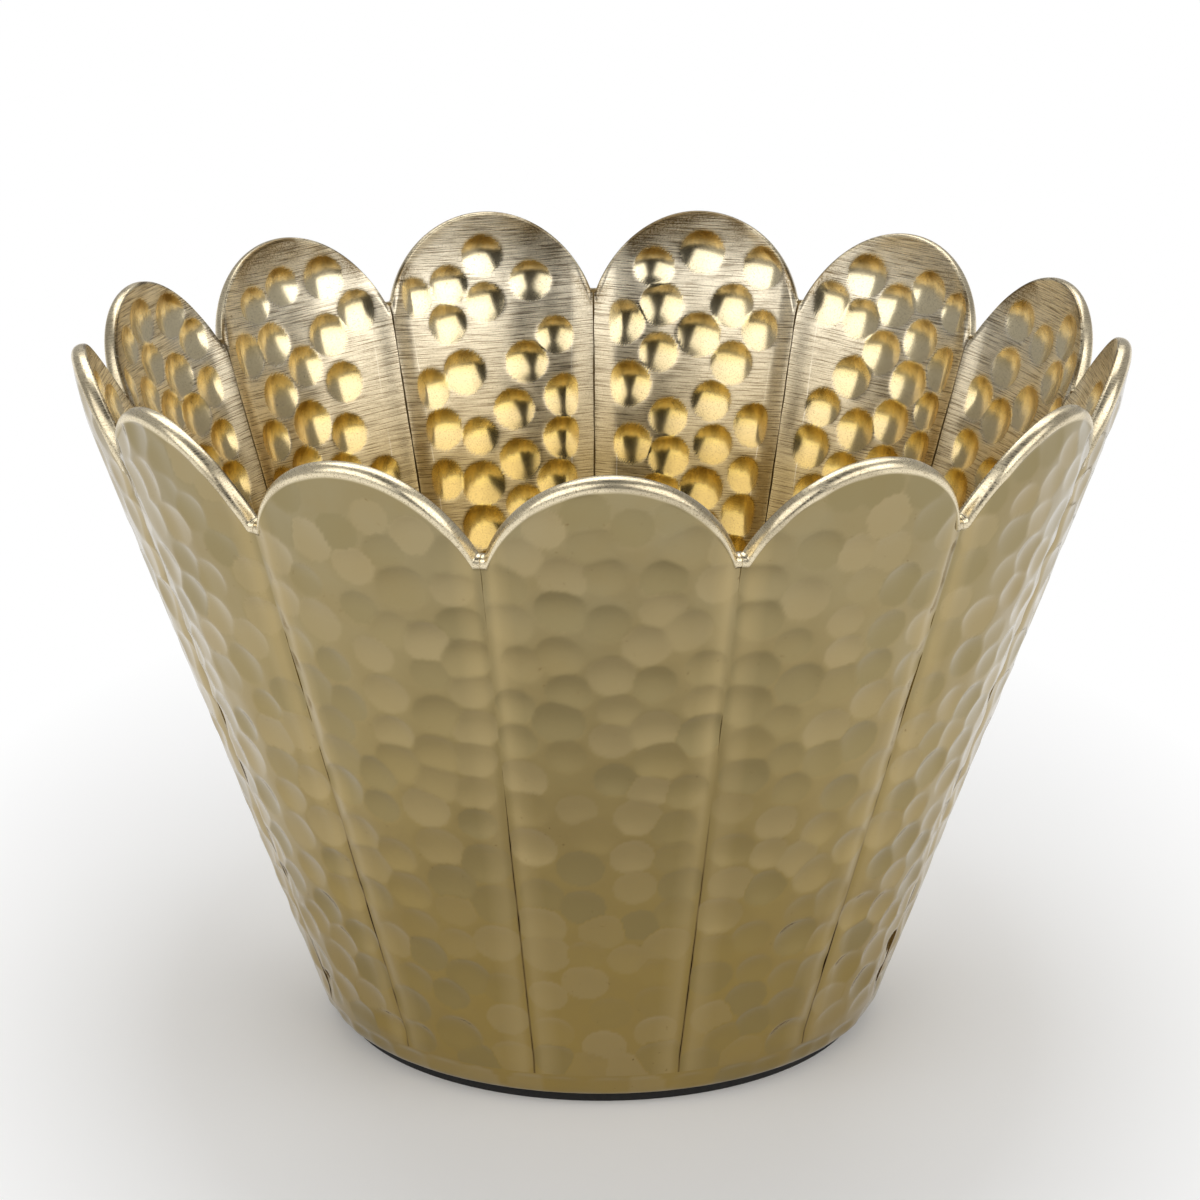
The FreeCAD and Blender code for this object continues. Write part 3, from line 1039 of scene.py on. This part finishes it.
def make_plain_brass(name, colour, roughness):
    material, tree, shader = start_material(name, Metallic=1.0, Roughness=roughness)
    place = tree.nodes.new("ShaderNodeTexCoord").outputs["Object"]
    tarnish = place_group(tree, TARNISH, place, Amount=0.6)
    base = mixed_colour(tree, tarnish.outputs["Cloud"], colour, TARNISHED)
    tree.links.new(base, shader.inputs["Base Color"])
    return material


def make_rubber():
    """Matt black rubber with a little dust in its grain."""
    material, tree, shader = start_material("pad rubber", Roughness=0.75)
    place = tree.nodes.new("ShaderNodeTexCoord").outputs["Object"]
    grain = object_noise(tree, place, Scale=1500.0, Detail=2.0)
    base = mixed_colour(tree, grain, BLACK_RUBBER, DUSTY_RUBBER)
    tree.links.new(base, shader.inputs["Base Color"])
    return material


for node_name, finish in (
        ("seam_braze", make_plain_brass("braze", SEAM_BRAZE, 0.45)),
        ("foot_braze", make_plain_brass("foot braze", FOOT_BRAZE, 0.40)),
        ("base_pad", make_rubber())):
    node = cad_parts[node_name]
    node.data.materials.clear()
    node.data.materials.append(finish)
    print(node_name, "gets", finish.name)

# %% [markdown]
# ## Floor, light and camera
#
# A metal shows what stands around it, so the studio matters as much as the finish. Two
# large soft panels stand in front, left and right, with a darker gap between them
# where the camera looks in. The floor is white paper. To the camera and in reflections
# it glows white away from the bowl, and near the foot it stays plain lit paper, so that
# the soft shadow is kept.

# %% The floor
PAPER = (0.94, 0.94, 0.94, 1.0)
WHITE_FROM, WHITE_FULLY = 0.105, 0.205  # distances over which the paper turns white
WHITE_NEAR = 0.10  # share of the white close to the foot
WHITE_SHAPE = (1.22, 0.74, 1.0)  # the lit patch is narrow across, long in depth
FLOOR_REACH = 6.0


def make_floor():
    """A sheet of paper under the bowl, which is staging and no part of it."""
    floor_mesh = bpy.data.meshes.new("studio_floor")
    sheet = bmesh.new()
    bmesh.ops.create_grid(sheet, x_segments=1, y_segments=1, size=FLOOR_REACH)
    sheet.to_mesh(floor_mesh)
    sheet.free()
    floor = new_object("studio_floor", floor_mesh)
    material, tree, shader = start_material(
        "white floor", Base_Color=PAPER, Roughness=0.9, Specular_IOR_Level=0.2)
    glow = add_node(tree, "ShaderNodeEmission", Strength=1.0)
    seen = tree.nodes.new("ShaderNodeLightPath").outputs
    straight = scalar(tree, "MAXIMUM", seen["Is Camera Ray"], seen["Is Glossy Ray"])
    straight = scalar(tree, "MAXIMUM", straight, seen["Is Transmission Ray"])
    place = tree.nodes.new("ShaderNodeTexCoord").outputs["Object"]
    shaped = add_node(tree, "ShaderNodeMapping", Scale=WHITE_SHAPE)
    tree.links.new(place, shaped.inputs["Vector"])
    away = add_node(tree, "ShaderNodeVectorMath", operation="LENGTH")
    tree.links.new(shaped.outputs["Vector"], away.inputs[0])
    far = ranged(tree, away.outputs["Value"], WHITE_FROM, WHITE_FULLY, WHITE_NEAR, 1.0)
    blend = tree.nodes.new("ShaderNodeMixShader")
    tree.links.new(product(tree, straight, far), blend.inputs[0])
    tree.links.new(shader.outputs[0], blend.inputs[1])
    tree.links.new(glow.outputs[0], blend.inputs[2])
    tree.links.new(blend.outputs[0], tree.nodes["Material Output"].inputs["Surface"])
    floor.data.materials.append(material)
    return floor


print("floor:", make_floor().name)

# %% [markdown]
# A polished dent mirrors each lamp, so the lamps are wide panels, which leave soft bands
# and not hard dots. Two stand in front, and one hangs behind and lights the inside.

# %% The lamps
def soft_panel(name, place, target, size, power):
    lamp = bpy.data.lights.new(name, "AREA")
    lamp.shape, lamp.size, lamp.size_y, lamp.energy = "RECTANGLE", size[0], size[1], power
    holder = new_object(name, lamp)
    holder.location = place
    holder.rotation_euler = (Vector(target) - Vector(place)).to_track_quat("-Z", "Y").to_euler()
    return holder


BOWL_CENTRE = (0.0, 0.0, 0.08)
soft_panel("left_panel", (-0.88, -0.93, 0.90), BOWL_CENTRE, (1.60, 0.95), 7.9)
soft_panel("right_panel", (0.94, -0.88, 0.90), BOWL_CENTRE, (1.60, 0.95), 9.0)
soft_panel("top_panel", (0.0, 0.60, 1.25), BOWL_CENTRE, (1.4, 1.0), 9.0)
print("panels:", len(bpy.data.lights))

# %% [markdown]
# The room around the panels is pale too, apart from the opening in front, where the
# camera stands. Polished metal needs that dark opening: without something dark to
# mirror, brass looks like yellow paint. The camera itself sees the room as white.

# %% The room
ROOM_LIGHT = 0.36
OPENING_LIGHT = 0.03
OPENING_SPREAD = 0.52
OPENING_SOFT = (-0.08, 0.20)  # where the opening's edge begins and ends


def make_room():
    """A pale world with a dark wedge towards -Y, from side to side OPENING_SPREAD wide."""
    world = bpy.data.worlds.new("studio")
    bpy.context.scene.world = world
    world.use_nodes = True
    tree = world.node_tree
    direction = tree.nodes.new("ShaderNodeTexCoord").outputs["Generated"]
    split = tree.nodes.new("ShaderNodeSeparateXYZ")
    tree.links.new(direction, split.inputs[0])
    sideways = scalar(tree, "ABSOLUTE", split.outputs[0])
    beside = scalar(tree, "MULTIPLY_ADD", split.outputs[1], OPENING_SPREAD, sideways)
    light = ranged(tree, beside, *OPENING_SOFT, OPENING_LIGHT, ROOM_LIGHT)
    seen = tree.nodes.new("ShaderNodeLightPath").outputs["Is Camera Ray"]
    light = scalar(tree, "MAXIMUM", light, seen)
    tree.nodes["Background"].inputs["Color"].default_value = (1.0, 1.0, 1.0, 1.0)
    tree.links.new(light, tree.nodes["Background"].inputs["Strength"])


make_room()

# %% [markdown]
# A long lens from a little above keeps the petals' proportions, as a short one spreads
# the front ones. The Standard view shows colours about as they are written.

# %% The camera
EYE = (-0.0151, -0.8347, 0.3633)
LOOKED_AT = (0.0, 0.0, 0.08506)

camera = bpy.data.cameras.new("camera")
camera.sensor_width = 36.0
camera.lens = 132.09
camera.shift_x = -0.0011
camera.clip_start = 0.01
viewer = new_object("camera", camera)
viewer.location = EYE
look = Vector(LOOKED_AT) - viewer.location
viewer.rotation_euler = look.to_track_quat("-Z", "Y").to_euler()
bpy.context.scene.camera = viewer
bpy.context.scene.view_settings.view_transform = "Standard"
print("lens", round(camera.lens, 1), "mm, distance", round(look.length, 3), "m")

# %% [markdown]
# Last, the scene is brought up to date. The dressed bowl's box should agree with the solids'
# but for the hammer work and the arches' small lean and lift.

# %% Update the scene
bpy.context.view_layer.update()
